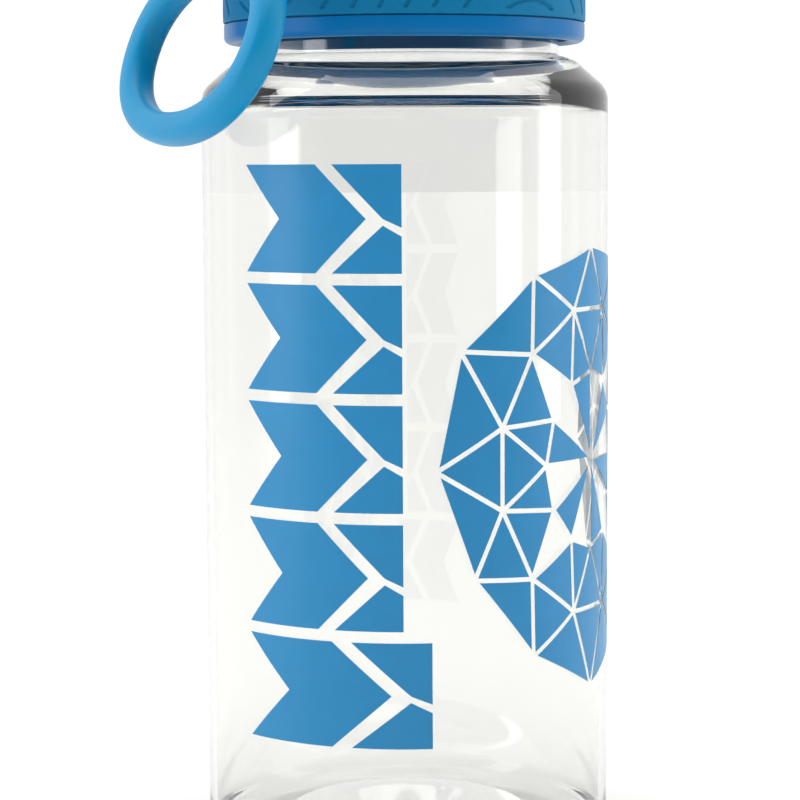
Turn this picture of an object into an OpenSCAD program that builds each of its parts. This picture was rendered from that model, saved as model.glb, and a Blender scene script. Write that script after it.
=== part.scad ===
/* [Bottle] */
// Outer diameter of the clear body
body_d = 75; // [70:0.5:84]
// Wall thickness of the body
wall = 1.4; // [1:0.1:2.4]
// Height of the ledge where the neck leaves the shoulder
ledge_z = 148.5; // [120:0.5:200]
// Outer diameter of the neck below the thread
neck_d = 56.8; // [54:0.2:58]
// Height of the neck above the ledge
neck_h = 16; // [15:0.5:18]
// Thickness of the neck wall
neck_wall = 1.4; // [1.2:0.1:2]
// Depth of the hollow under the base
punt_h = 2.6; // [0:0.2:4]

/* [Thread] */
// Rise of the thread for one turn
thread_pitch = 4; // [3.6:0.1:4.4]
// Height of the thread ridges off their wall
thread_h = 1.4; // [0.8:0.1:1.5]
// Number of turns of thread
thread_turns = 1.4; // [1:0.1:1.6]

/* [Lid] */
// Outer diameter of the lid
lid_d = 66.6; // [66:0.1:70]
// Height of the hard skirt below the grip band
skirt_h = 3.5; // [3:0.1:5]
// Gap between the ledge and the lid's lower edge
lid_gap = 2.4; // [2:0.1:3]
// Height of the rubber grip band
band_h = 16.8; // [15:0.1:18]
// Thickness of the rubber grip band
band_t = 1.3; // [0.8:0.1:1.4]
// Radius of the rounded upper edge of the lid
crown_r = 3.5; // [1.5:0.1:3.5]
// Turn of the whole lid about the bottle's axis
lid_yaw = -148.6; // [-180:0.1:180]

/* [Spout and cover] */
// Radius of the drinking bore
spout_bore_r = 5.5; // [4.5:0.1:6]
// Height of the spout above the lid's top
spout_h = 11; // [9:0.5:12]
// Outer radius of the spout cover's dome
dome_r = 15.2; // [14.8:0.1:16]
// Travel of the release button
button_travel = 1.5; // [0.8:0.1:1.5]

/* [Carry loop] */
// Width of the loop between its strand centres
loop_w = 46; // [40:0.5:52]
// Height of the loop between its strand centres
loop_h = 31; // [28:0.5:36]
// Radius of the loop's strand
loop_r = 3; // [2.5:0.1:3]
// Lean of the loop away from the bottle at rest
loop_lean = 20.1; // [12:0.1:30]

/* [Hidden] */
$fn = 96;

// Clearances: a loose gap between moving pieces, and the running gap round a pin
gap = 0.3;
pin_gap = 0.05;

// Bottle
body_r = body_d / 2;
neck_r = neck_d / 2;
bore_r = neck_r - neck_wall;
rim_z = ledge_z + neck_h;
foot_in_r = 26;
foot_out_r = body_r - 6;
floor_z = punt_h + 1.8;
shoulder_round_r = 4.5;
shoulder_top_r = neck_r + 3.1;
shoulder_slope = 42;

// Lid levels, from the bottom up
skirt_z = ledge_z + lid_gap;
band_z = skirt_z + skirt_h + 0.2;
band_top_z = band_z + band_h;
deck_z = rim_z + 1.8;
deck_t = 2;
deck_top_z = deck_z + deck_t;
crown_z = band_top_z + 7.6;
plate_t = 2;
spout_top_z = crown_z + spout_h;

// Lid radii
lid_r = lid_d / 2;
cap_r = lid_r - band_t;
cap_bore_r = neck_r + 2;
plug_r = bore_r - 0.4;
plug_wall = 1.4;
collar_wall = 2;
spigot_r = cap_r - 2.6;
spigot_wall = 1.6;

// Thread ridges, whose centres sit half a pitch apart on the two pieces
ridge_root_w = 2.2;
ridge_crest_w = 1;
ridge_sink = 0.3;
neck_thread_z = rim_z - 8.1;
cap_thread_z = neck_thread_z - thread_pitch / 2;

// Spout cover hinge, on the lid's far side from the button
hinge_y = -25.5;
hinge_z = crown_z + 5;
knuckle_r = 3.2;
hinge_pin_r = 1.1;
ear_in = 7;
ear_out = 9.5;
arm_w = 2 * (ear_in - gap);
spring_pocket_w = 6.4;
dome_z = crown_z + gap;
dome_wall = 1.8;
roof_z = spout_top_z + 2;
dome_top_z = roof_z + 3;
pad_ring_r = 10.8;

// Catch tongue of the cover, and the button's bar that holds it
tongue_y = 18.2;
tongue_t = 1.6;
tongue_w = 8;
tongue_end_z = deck_top_z + 1.6;
nose_end_y = 23.5;
bar_y = tongue_y - 1 - gap;

// Release button
button_w = 17;
button_z = deck_top_z + 0.7;
button_top_z = crown_z - 2.7;
button_back_y = 28;
button_arm_w = 3.5;
spring_z = button_z + 3.6;
spring_seat_y = button_back_y - button_travel - 2.5;
spring_socket_y = 31.5;
button_spring_r = 2.2;

// Loop hinge, on a lug at the lid's side
pivot_x = lid_r + 3.5;
pivot_z = band_z + band_h / 2 + 1.3;
loop_pin_r = 1.5;
lug_half_w = 6;
lug_r = 3.2;
eye_r = 3.2;
eye_end = 10.5;
boss_half_w = 11;
boss_half_h = 5.2;

// Squareness of the loop's oval: 1 is an ellipse, less is squarer
loop_power = 0.93;

// Points of an arc in the plane, from angle a0 to a1
function arc(cx, cy, r, a0, a1, n = 10) =
    [for (i = [0:n]) let (a = a0 + (a1 - a0) * i / n) [cx + r * cos(a), cy + r * sin(a)]];

// Ring of points for a ridge section at turn angle a: root on radius r, crest reaching out by h
function ridge_section(r, h, z, a) =
    [
        for (q = [[-ridge_sink, -ridge_root_w / 2], [h, -ridge_crest_w / 2], [h, ridge_crest_w / 2],
            [-ridge_sink, ridge_root_w / 2]])
            let (rr = r + (h < 0 ? (q[0] == h ? h : ridge_sink) : q[0]))
                [rr * cos(a), rr * sin(a), z + q[1]]
    ];

// Solid skin over a row of rings that all have the same number of points
module swept(rings, flip = false) {
    n = len(rings[0]);
    m = len(rings);
    points = [for (ring = rings) for (p = ring) p];
    sides = [
        for (i = [0:m - 2]) for (j = [0:n - 1])
            let (a = i * n + j, b = i * n + (j + 1) % n, c = a + n, d = b + n)
                for (t = flip ? [[a, b, c], [b, d, c]] : [[a, c, b], [b, c, d]]) t
    ];
    first = [for (j = [0:n - 1]) flip ? n - 1 - j : j];
    last = [for (j = [0:n - 1]) (m - 1) * n + (flip ? j : n - 1 - j)];
    polyhedron(points = points, faces = concat(sides, [first, last]), convexity = 8);
}

// One helical thread ridge; a negative height makes it point inwards
module thread_ridge(r, h, z0) {
    steps = round(thread_turns * 40);
    swept([
        for (i = [0:steps])
            let (turn = thread_turns * i / steps)
                ridge_section(r, h, z0 + thread_pitch * turn, 360 * turn)
    ], flip = h > 0);
}

// Rings of points round a route in space, for a round bar of radius r; ref is a way the route never runs
function bar_rings(route, r, sides, ref) =
    let (last = len(route) - 1)
    [
        for (i = [0:last])
            let (
                ahead = route[min(i + 1, last)] - route[max(i - 1, 0)],
                t = ahead / norm(ahead),
                side = cross(t, ref),
                u = side / norm(side),
                v = cross(t, u)
            )
                [for (k = [0:sides - 1]) let (a = 360 * k / sides) route[i] + r * (cos(a) * u + sin(a) * v)]
    ];

// Coil of round wire about the Z axis, with straight ends given as extra points
module wire_coil(r, wire_r, length, turns, lead_in = [], lead_out = []) {
    steps = round(turns * 14);
    route = concat(
        lead_in,
        [for (i = [0:steps]) let (a = 360 * turns * i / steps) [r * cos(a), r * sin(a), length * i / steps]],
        lead_out
    );
    swept(bar_rings(route, wire_r, 6, [0, 0, 1]), flip = true);
}

// Places a lid piece: the loop's side is +X and the button's side is +Y before the turn
module on_lid() {
    rotate([0, 0, lid_yaw]) children();
}

// Round bar along Y between two stations
module bar_y_axis(r, y0, y1) {
    translate([0, y1, 0]) rotate([90, 0, 0]) cylinder(r = r, h = y1 - y0);
}

// Round bar along X between two stations
module bar_x_axis(r, x0, x1) {
    translate([x0, 0, 0]) rotate([0, 90, 0]) cylinder(r = r, h = x1 - x0);
}

// Rounded slot outline that runs through the lid's wall at the loop's side
module boss_outline(grow) {
    for (s = [-1, 1])
        translate([0, s * (boss_half_w - boss_half_h), 0])
            bar_x_axis(boss_half_h + grow, 25, lid_r + 1);
    translate([25, boss_half_h - boss_half_w, -boss_half_h - grow])
        cube([lid_r - 24, 2 * (boss_half_w - boss_half_h), 2 * (boss_half_h + grow)]);
}

module bottle_body() {
    // Where the sloping shoulder meets the straight wall
    reach = shoulder_round_r * tan((90 - shoulder_slope) / 2);
    corner_z = ledge_z - 0.8 - (body_r - shoulder_top_r) * tan(shoulder_slope);
    outside = concat(
        [[0, punt_h], [foot_in_r - 8, punt_h - 0.7], [foot_in_r, 0], [foot_out_r, 0]],
        arc(foot_out_r, 6, 6, -90, 0),
        arc(body_r - shoulder_round_r, corner_z - reach, shoulder_round_r, 0, 90 - shoulder_slope),
        [[shoulder_top_r, ledge_z - 0.8], [neck_r + 1.9, ledge_z - 0.1]],
        arc(neck_r + 0.9, ledge_z + 0.9, 0.9, 270, 180, 6),
        [[neck_r, rim_z - 0.5], [neck_r - 0.5, rim_z]]
    );
    inside = concat(
        [[bore_r + 0.3, rim_z], [bore_r, rim_z - 0.3], [bore_r, ledge_z - 1]],
        arc(bore_r + 2.5, ledge_z - 1, 2.5, 180, 180 + 90 - shoulder_slope + 10, 6),
        arc(body_r - wall - 4, corner_z - reach - 1.2, 4, 90 - shoulder_slope, 0),
        arc(body_r - wall - 5, floor_z + 5, 5, 0, -90),
        [[foot_in_r - 8, floor_z - 0.4], [0, floor_z]]
    );
    color("aliceblue", 0.35)
        union() {
            rotate_extrude() polygon(concat(outside, inside));
            thread_ridge(neck_r, thread_h, neck_thread_z);
        }
}

module rim_gasket() {
    color("whitesmoke")
        translate([0, 0, rim_z + 0.05])
            difference() {
                cylinder(r = cap_bore_r - 0.2, h = 1.7);
                translate([0, 0, -1]) cylinder(r = plug_r + 0.2, h = 4);
            }
}

module cap_shell() {
    skirt_round = 1.2;
    section = concat(
        [[cap_bore_r + 0.6, skirt_z]],
        arc(lid_r - 0.15 - skirt_round, skirt_z + skirt_round, skirt_round, -90, 0, 6),
        [[lid_r - 0.15, skirt_z + skirt_h], [cap_r, skirt_z + skirt_h], [cap_r, band_top_z]],
        [[spigot_r + 0.2, band_top_z], [spigot_r + 0.2, deck_top_z], [0, deck_top_z], [0, deck_z]],
        [[plug_r - plug_wall, deck_z], [plug_r - plug_wall, deck_z - 6.8], [plug_r - 0.5, deck_z - 6.8]],
        [[plug_r, deck_z - 5.6], [plug_r, deck_z], [cap_bore_r, deck_z], [cap_bore_r, skirt_z + 0.6]]
    );
    color("royalblue")
        on_lid() {
            difference() {
                union() {
                    rotate_extrude() polygon(section);
                    // Boss and barrel that carry the loop's pin
                    intersection() {
                        translate([0, 0, pivot_z]) boss_outline(0);
                        difference() {
                            cylinder(r = lid_r, h = band_top_z);
                            cylinder(r = cap_r - 0.5, h = band_top_z + 1);
                        }
                    }
                    translate([pivot_x, 0, pivot_z]) bar_y_axis(lug_r, -lug_half_w, lug_half_w);
                    translate([cap_r - 0.3, -lug_half_w, pivot_z - 2.4])
                        cube([pivot_x - cap_r + 0.3, 2 * lug_half_w, 4.8]);
                    // Rib that the button's spring pushes against
                    translate([-3.2, spring_seat_y - 1.2, deck_top_z - 0.5]) cube([6.4, 1.2, 7.3]);
                }
                translate([pivot_x, 0, pivot_z]) bar_y_axis(loop_pin_r, -lug_half_w - 1, lug_half_w + 1);
                translate([0, 0, deck_z - 1]) cylinder(r = spout_bore_r, h = deck_t + 2);
                translate([0, -17, deck_z - 1]) cylinder(r = 1.5, h = deck_t + 2);
                // Way through the upper wall for the button
                translate([-button_w / 2 - gap, 26, button_z - gap])
                    cube([button_w + 2 * gap, 20, band_top_z - button_z + 1]);
            }
            rotate([0, 0, -lid_yaw]) thread_ridge(cap_bore_r, -thread_h, cap_thread_z);
        }
}

module grip_band() {
    edge = 0.4;
    section = concat(
        [[cap_r, band_z]],
        arc(lid_r - edge, band_z + edge, edge, -90, 0, 5),
        arc(lid_r - edge, band_top_z - 0.1 - edge, edge, 0, 90, 5),
        [[cap_r, band_top_z - 0.1]]
    );
    color("teal")
        on_lid() difference() {
            rotate_extrude() polygon(section);
            translate([0, 0, pivot_z]) boss_outline(0.15);
            translate([-button_w / 2 - gap, 20, button_z - gap]) cube([button_w + 2 * gap, 20, 12]);
        }
}

module deck_cover() {
    section = concat(
        [[lid_r - 0.1 - collar_wall, band_top_z], [lid_r - 0.1, band_top_z]],
        arc(lid_r - 0.1 - crown_r, crown_z - crown_r, crown_r, 0, 90, 10),
        [[0, crown_z], [0, crown_z - plate_t], [spigot_r - spigot_wall, crown_z - plate_t]],
        [[spigot_r - spigot_wall, band_top_z - 2], [spigot_r, band_top_z - 2], [spigot_r, band_top_z]]
    );
    color("royalblue")
        on_lid() difference() {
            union() {
                rotate_extrude() polygon(section);
                // Ring that clamps the spout's flange
                translate([0, 0, deck_top_z + 2.1]) cylinder(r = 13, h = crown_z - deck_top_z - 3);
                // Hinge ears
                for (s = [-1, 1]) {
                    x = s > 0 ? ear_in : -ear_out;
                    translate([0, hinge_y, hinge_z]) bar_x_axis(knuckle_r, x, x + ear_out - ear_in);
                    translate([x, hinge_y - knuckle_r, crown_z - 2])
                        cube([ear_out - ear_in, 2 * knuckle_r, hinge_z - crown_z + 2]);
                }
            }
            translate([0, 0, deck_top_z]) cylinder(r = 11, h = 30);
            translate([0, hinge_y, hinge_z]) bar_x_axis(hinge_pin_r, -20, 20);
            translate([-tongue_w / 2 - 0.6, tongue_y - 1.3, crown_z - 5]) cube([tongue_w + 1.2, 5.4, 10]);
            translate([-button_w / 2 - gap, 20, band_top_z - 5])
                cube([button_w + 2 * gap, 20, button_top_z + gap - band_top_z + 5]);
        }
}

module mouth_spout() {
    lip = 1.2;
    section = concat(
        [[spout_bore_r, deck_top_z], [12.8, deck_top_z], [12.8, deck_top_z + 2], [10.8, deck_top_z + 2]],
        [[10.8, crown_z + 0.6], [10.2, crown_z + 1.4], [8.7, spout_top_z - 2]],
        arc(8.6 - lip, spout_top_z - lip, lip, 0, 90, 6),
        arc(spout_bore_r + 0.6, spout_top_z - 0.6, 0.6, 90, 180, 4)
    );
    color("deepskyblue") rotate_extrude() polygon(section);
}

module vent_valve() {
    color("whitesmoke")
        on_lid() translate([0, -17, 0]) union() {
            translate([0, 0, deck_top_z]) cylinder(r1 = 3.4, r2 = 2.6, h = 0.9);
            translate([0, 0, deck_z - 1]) cylinder(r = 1.5, h = deck_t + 1.2);
            translate([0, 0, deck_z - 1.6]) cylinder(r1 = 1.2, r2 = 2.2, h = 1.6);
        }
}

module hinge_pin() {
    color("silver") on_lid() translate([0, hinge_y, hinge_z]) bar_x_axis(hinge_pin_r, -ear_out, ear_out);
}

module cover_spring() {
    coil_r = 1.75;
    half_l = spring_pocket_w / 2 - 0.5;
    color("silver")
        on_lid() translate([-half_l, hinge_y, hinge_z]) rotate([0, 90, 0])
            wire_coil(
                coil_r, 0.25, 2 * half_l, 6.5,
                lead_in = [[coil_r + 2.6, 6, 0], [coil_r + 0.9, 3, 0]],
                lead_out = [[-coil_r, 2.4, 2 * half_l], [-coil_r, 4.9, 2 * half_l]]
            );
}

module button_spring() {
    length = spring_socket_y - spring_seat_y;
    color("silver")
        on_lid() translate([0, spring_socket_y - 0.25, spring_z]) rotate([90, 0, 0])
            wire_coil(button_spring_r, 0.24, length - 0.5, 5);
}

module loop_pin() {
    color("silver")
        on_lid() translate([pivot_x, 0, pivot_z]) bar_y_axis(loop_pin_r, -eye_end + 1, eye_end - 1);
}

module spout_cover() {
    inner_r = dome_r - dome_wall;
    outline = concat(
        [[inner_r, dome_z], [dome_r, dome_z], [dome_r, dome_top_z - 6]],
        [for (i = [1:10]) let (a = 9 * i) [dome_r - 7 + 7 * cos(a), dome_top_z - 6 + 5.2 * sin(a)]],
        [[0, dome_top_z], [0, roof_z], [inner_r - 1.5, roof_z], [inner_r, roof_z - 1.5]]
    );
    color("royalblue")
        on_lid() difference() {
            union() {
                rotate_extrude() polygon(outline);
                // Ring that holds the sealing pad
                difference() {
                    translate([0, 0, roof_z - 2.2]) cylinder(r = pad_ring_r, h = 2.4);
                    translate([0, 0, roof_z - 3]) cylinder(r = pad_ring_r - 1.3, h = 3);
                }
                // Arm to the hinge
                translate([0, hinge_y, hinge_z]) bar_x_axis(knuckle_r, -arm_w / 2, arm_w / 2);
                translate([-arm_w / 2, hinge_y, hinge_z - 2.4]) cube([arm_w, 12, 2.4 + knuckle_r]);
                // Thumb nose, and the tongue that the button catches
                translate([-6.5, inner_r, crown_z + 1.2]) cube([13, nose_end_y - 1.5 - inner_r, 5.6]);
                translate([-5, inner_r, crown_z + 1.2]) cube([10, nose_end_y - inner_r, 5.6]);
                for (s = [-1, 1])
                    translate([s * 5, nose_end_y - 1.5, crown_z + 1.2]) cylinder(r = 1.5, h = 5.6);
                translate([-tongue_w / 2, tongue_y, tongue_end_z])
                    cube([tongue_w, tongue_t, crown_z + 2 - tongue_end_z]);
                translate([-tongue_w / 2, tongue_y - 1, tongue_end_z]) cube([tongue_w, 1.5, 1.1]);
            }
            translate([0, hinge_y, hinge_z]) bar_x_axis(hinge_pin_r + pin_gap, -20, 20);
            translate([-spring_pocket_w / 2, hinge_y - 4, hinge_z - 4]) cube([spring_pocket_w, 10, 6.4]);
        }
}

module cover_pad() {
    pad_r = pad_ring_r - 1.4;
    color("whitesmoke")
        rotate_extrude() polygon([
            [0, spout_top_z - 3], [spout_bore_r - 1.4, spout_top_z - 3], [spout_bore_r - 0.4, spout_top_z + 0.1],
            [pad_r - 0.3, spout_top_z + 0.1], [pad_r, spout_top_z + 0.4], [pad_r, roof_z], [0, roof_z]
        ]);
}

module push_button() {
    arm_z = button_z + 2.2;
    color("royalblue")
        on_lid() difference() {
            union() {
                // Thumb pad, rounded to the lid's side
                intersection() {
                    translate([-button_w / 2, button_back_y, button_z])
                        cube([button_w, 10, button_top_z - button_z]);
                    cylinder(r = lid_r + 0.2, h = crown_z);
                }
                // Two arms and the bar that holds the cover's tongue
                for (s = [-1, 1])
                    translate([s * (button_w - button_arm_w) / 2 - button_arm_w / 2, bar_y - 2, arm_z])
                        cube([button_arm_w, button_back_y - bar_y + 2.5, 2.8]);
                translate([-button_w / 2, bar_y - 2, arm_z]) cube([button_w, 2, 1.2]);
            }
            translate([0, 0, spring_z]) bar_y_axis(3.1, button_back_y - 1, spring_socket_y);
        }
}

module carry_loop() {
    // Rounded oval, open at the top where the lid's lug stands between its two eyes
    half_w = loop_w / 2;
    half_h = loop_h / 2;
    steps = 72;
    route = [
        for (i = [0:steps])
            let (a = 102 + 336 * i / steps, c = cos(a), s = sin(a))
                [0, half_w * sign(c) * pow(abs(c), loop_power), half_h * (sign(s) * pow(abs(s), loop_power) - 1)]
    ];
    color("deepskyblue")
        on_lid() translate([pivot_x, 0, pivot_z]) rotate([0, -loop_lean, 0]) difference() {
            union() {
                difference() {
                    swept(bar_rings(route, loop_r, 24, [1, 0, 0]));
                    translate([-6, -lug_half_w - gap, -6]) cube([12, 2 * (lug_half_w + gap), 12]);
                }
                // Eyes at the two ends, round the pin
                bar_y_axis(eye_r, lug_half_w + gap, eye_end);
                bar_y_axis(eye_r, -eye_end, -lug_half_w - gap);
            }
            bar_y_axis(loop_pin_r + pin_gap, -eye_end + 1 - gap, eye_end - 1 + gap);
        }
}

bottle_body();
rim_gasket();
cap_shell();
grip_band();
deck_cover();
mouth_spout();
vent_valve();
hinge_pin();
cover_spring();
button_spring();
loop_pin();
spout_cover();
cover_pad();
push_button();
carry_loop();
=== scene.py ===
"""Clear sports bottle with a screw lid, a flip-up spout cover, a push button and a carry loop.

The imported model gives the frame, the bodies and the joints. This script gives each piece its final
mesh and finish, the pale floor, the studio light and the camera.
"""

import logging
import math
from collections.abc import Callable, Iterable, Sequence
from dataclasses import dataclass, field
from enum import Enum

import bmesh
import bpy
import numpy as np
from mathutils import Matrix, Vector


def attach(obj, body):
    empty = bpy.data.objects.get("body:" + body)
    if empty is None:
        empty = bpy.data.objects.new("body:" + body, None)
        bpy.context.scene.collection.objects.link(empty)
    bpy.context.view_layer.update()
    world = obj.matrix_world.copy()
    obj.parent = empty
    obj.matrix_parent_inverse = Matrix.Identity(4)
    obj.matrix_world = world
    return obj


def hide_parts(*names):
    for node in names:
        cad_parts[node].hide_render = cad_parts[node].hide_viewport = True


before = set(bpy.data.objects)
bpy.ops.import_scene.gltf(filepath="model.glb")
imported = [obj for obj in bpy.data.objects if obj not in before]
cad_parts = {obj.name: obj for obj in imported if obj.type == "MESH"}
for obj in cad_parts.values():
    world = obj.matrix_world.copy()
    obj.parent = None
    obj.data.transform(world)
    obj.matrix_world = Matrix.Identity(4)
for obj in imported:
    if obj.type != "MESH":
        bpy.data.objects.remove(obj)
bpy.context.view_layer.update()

LOG = logging.getLogger("bottle")
MM = 0.001
Point2 = tuple[float, float]
Relief = Callable[[np.ndarray, np.ndarray, np.ndarray], np.ndarray]
Step = Callable[[Point2, Point2], float]


class Body(Enum):
    """The moving bodies that pieces ride on."""

    BOTTLE = "bottle"
    LID = "lid"
    COVER = "cover"
    BUTTON = "button"
    LOOP = "loop"


# ---------------------------------------------------------------- small helpers


def linear(colour: str) -> tuple[float, float, float, float]:
    """Turns an sRGB hex colour into linear RGBA.

    Args:
        colour: six hex digits, with or without a leading hash.

    Returns:
        Linear red, green, blue and an alpha of 1.
    """
    digits = colour.lstrip("#")
    parts = [int(digits[i : i + 2], 16) / 255 for i in (0, 2, 4)]
    red, green, blue = (c / 12.92 if c <= 0.04045 else ((c + 0.055) / 1.055) ** 2.4 for c in parts)
    return red, green, blue, 1.0


def add_node(
    tree: bpy.types.NodeTree, kind: str, settings: dict | None = None, links: dict | None = None
) -> bpy.types.Node:
    """Adds a node, sets its properties and inputs, and links other nodes' outputs to its inputs.

    Args:
        tree: the node tree to add to.
        kind: the node's type name.
        settings: property names, or input names or numbers, with their values.
        links: input names or numbers, with the output socket that feeds each.

    Returns:
        The new node.
    """
    node = tree.nodes.new(kind)
    for key, value in (settings or {}).items():
        if isinstance(key, str) and hasattr(node, key):
            setattr(node, key, value)
        else:
            node.inputs[key].default_value = value
    for key, socket in (links or {}).items():
        tree.links.new(socket, node.inputs[key])
    return node


def arc(cx: float, cy: float, r: float, a0: float, a1: float, n: int = 12) -> list[Point2]:
    """Points of an arc in the plane.

    Args:
        cx: centre across.
        cy: centre up.
        r: radius.
        a0: first angle in degrees.
        a1: last angle in degrees.
        n: number of steps.

    Returns:
        The points from the first angle to the last.
    """
    angles = [math.radians(a0 + (a1 - a0) * i / n) for i in range(n + 1)]
    return [(cx + r * math.cos(a), cy + r * math.sin(a)) for a in angles]


def dense(outline: Sequence[Point2], step: float | Step, closed: bool = True) -> list[Point2]:
    """Splits an outline's long sides, so that relief and bends have points to move.

    Args:
        outline: the outline's points.
        step: the longest side allowed, or a function that gives it from a side's two ends.
        closed: whether the last point joins the first.

    Returns:
        The outline with extra points.
    """
    points: list[Point2] = []
    count = len(outline)
    for i in range(count if closed else count - 1):
        (x0, y0), (x1, y1) = outline[i], outline[(i + 1) % count]
        longest = step((x0, y0), (x1, y1)) if callable(step) else step
        parts = max(1, math.ceil(math.hypot(x1 - x0, y1 - y0) / longest))
        points += [(x0 + (x1 - x0) * k / parts, y0 + (y1 - y0) * k / parts) for k in range(parts)]
    if not closed:
        points.append(outline[-1])
    return points


def new_object(name: str, mesh: bpy.types.Mesh) -> bpy.types.Object:
    """Puts a mesh in the scene as an object."""
    obj = bpy.data.objects.new(name, mesh)
    bpy.context.scene.collection.objects.link(obj)
    return obj


def grid_object(
    name: str, points: np.ndarray, close_rows: bool = True, caps: bool = False
) -> bpy.types.Object:
    """Makes a quad skin over a grid of points, closed round its columns, with its faces turned outwards.

    Args:
        name: the object's name.
        points: rows by columns by three, in millimetres.
        close_rows: whether the last row joins the first.
        caps: whether the first and last rows are closed by a face.

    Returns:
        The new object, in metres.
    """
    rows, cols = points.shape[:2]
    i = np.arange(rows if close_rows else rows - 1)
    j = np.arange(cols)
    ii, jj = np.meshgrid(i, j, indexing="ij")
    i2, j2 = (ii + 1) % rows, (jj + 1) % cols
    quads = np.stack([ii * cols + jj, i2 * cols + jj, i2 * cols + j2, ii * cols + j2], -1).reshape(-1, 4)
    faces = quads.tolist()
    if caps:
        faces.append(list(range(cols)))
        faces.append([(rows - 1) * cols + k for k in reversed(range(cols))])
    mesh = bpy.data.meshes.new(name)
    mesh.from_pydata((points.reshape(-1, 3) * MM).tolist(), [], faces)
    shell = bmesh.new()
    shell.from_mesh(mesh)
    on_axis = [v for v in shell.verts if math.hypot(v.co.x, v.co.y) < 1e-7]
    if on_axis:
        bmesh.ops.remove_doubles(shell, verts=on_axis, dist=1e-6)
    if shell.calc_volume(signed=True) < 0:
        bmesh.ops.reverse_faces(shell, faces=shell.faces[:])
    shell.to_mesh(mesh)
    shell.free()
    return new_object(name, mesh)


def turned(
    name: str, outline: Sequence[Point2], steps: int = 192, relief: Relief | None = None
) -> bpy.types.Object:
    """Turns a closed section about the bottle's axis.

    Args:
        name: the object's name.
        outline: radius and height of the section's points, in millimetres.
        steps: number of steps round the axis.
        relief: extra radius from radius, height and angle, for threads, grooves and ripples.

    Returns:
        The new object.
    """
    r = np.array([p[0] for p in outline])[:, None]
    z = np.array([p[1] for p in outline])[:, None]
    angle = np.linspace(0, 2 * np.pi, steps, endpoint=False)[None, :]
    radius = np.broadcast_to(r, (len(outline), steps)).copy()
    if relief is not None:
        radius += relief(r, z, angle)
    height = np.broadcast_to(z, radius.shape)
    points = np.stack([radius * np.cos(angle), radius * np.sin(angle), height], -1)
    return grid_object(name, points)


def smooth(obj: bpy.types.Object, sharp_above: float = 35) -> bpy.types.Object:
    """Shades a piece smooth, and keeps edges crisp where they bend more than an angle in degrees."""
    obj.data.polygons.foreach_set("use_smooth", [True] * len(obj.data.polygons))
    obj.data.set_sharp_from_angle(angle=math.radians(sharp_above))
    return obj


def evaluated(obj: bpy.types.Object) -> None:
    """Applies an object's modifiers to its mesh."""
    graph = bpy.context.evaluated_depsgraph_get()
    result = bpy.data.meshes.new_from_object(obj.evaluated_get(graph))
    obj.modifiers.clear()
    obj.data = result


def cut(obj: bpy.types.Object, tools: Iterable[bpy.types.Object], how: str = "DIFFERENCE") -> None:
    """Cuts tools out of a piece, or joins them to it, and removes the tools.

    Args:
        obj: the piece that is changed.
        tools: the solids that cut it or join it.
        how: DIFFERENCE, UNION or INTERSECT.
    """
    for tool in tools:
        modifier = obj.modifiers.new("cut", "BOOLEAN")
        modifier.operation = how
        modifier.solver = "EXACT"
        modifier.object = tool
        bpy.context.view_layer.update()
        evaluated(obj)
        bpy.data.objects.remove(tool)


def fused(name: str, solids: Sequence[bpy.types.Object], voxel: float, rounds: int) -> bpy.types.Object:
    """Fuses overlapping solids into one skin with softly moulded corners.

    Args:
        name: the new object's name.
        solids: the solids, which are removed.
        voxel: grid size in millimetres.
        rounds: number of smoothing passes.

    Returns:
        The fused object.
    """
    joined = bmesh.new()
    for solid in solids:
        part = solid.data.copy()
        part.transform(solid.matrix_world)
        joined.from_mesh(part)
        bpy.data.meshes.remove(part)
        bpy.data.objects.remove(solid)
    mesh = bpy.data.meshes.new(name)
    joined.to_mesh(mesh)
    joined.free()
    obj = new_object(name, mesh)
    remesh = obj.modifiers.new("fuse", "REMESH")
    remesh.mode = "VOXEL"
    remesh.voxel_size = voxel * MM
    soften = obj.modifiers.new("soften", "SMOOTH")
    soften.factor = 0.5
    soften.iterations = rounds
    bpy.context.view_layer.update()
    evaluated(obj)
    return obj


def block(low: Sequence[float], high: Sequence[float], bevel: float = 0.0) -> bpy.types.Object:
    """Makes a box with rounded edges between two corners.

    Args:
        low: lowest corner in millimetres.
        high: highest corner in millimetres.
        bevel: radius of its edges in millimetres.

    Returns:
        The new object.
    """
    shape = bmesh.new()
    bmesh.ops.create_cube(shape, size=1.0)
    size = [b - a for a, b in zip(low, high)]
    middle = [(a + b) / 2 for a, b in zip(low, high)]
    for vert in shape.verts:
        vert.co = Vector([(m + c * s) * MM for m, c, s in zip(middle, vert.co, size)])
    if bevel:
        bmesh.ops.bevel(
            shape, geom=shape.edges[:], offset=bevel * MM, segments=4, profile=0.5, affect="EDGES"
        )
    mesh = bpy.data.meshes.new("block")
    shape.to_mesh(mesh)
    shape.free()
    return new_object("block", mesh)


def rod(axis: str, at: Sequence[float], radius: float, start: float, end: float) -> bpy.types.Object:
    """Makes a round bar along an axis.

    Args:
        axis: X, Y or Z.
        at: a point on its axis in millimetres; its value along the axis isn't used.
        radius: its radius in millimetres.
        start: where it starts along the axis.
        end: where it ends along the axis.

    Returns:
        The new object.
    """
    shape = bmesh.new()
    bmesh.ops.create_cone(
        shape, cap_ends=True, segments=96, radius1=radius * MM, radius2=radius * MM, depth=(end - start) * MM
    )
    spin = {"X": Matrix.Rotation(math.pi / 2, 4, "Y"), "Y": Matrix.Rotation(math.pi / 2, 4, "X")}
    place = Vector(at) * MM
    place["XYZ".index(axis)] = (start + end) / 2 * MM
    bmesh.ops.transform(shape, matrix=Matrix.Translation(place) @ spin.get(axis, Matrix()), verts=shape.verts)
    mesh = bpy.data.meshes.new("rod")
    shape.to_mesh(mesh)
    shape.free()
    return new_object("rod", mesh)


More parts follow.
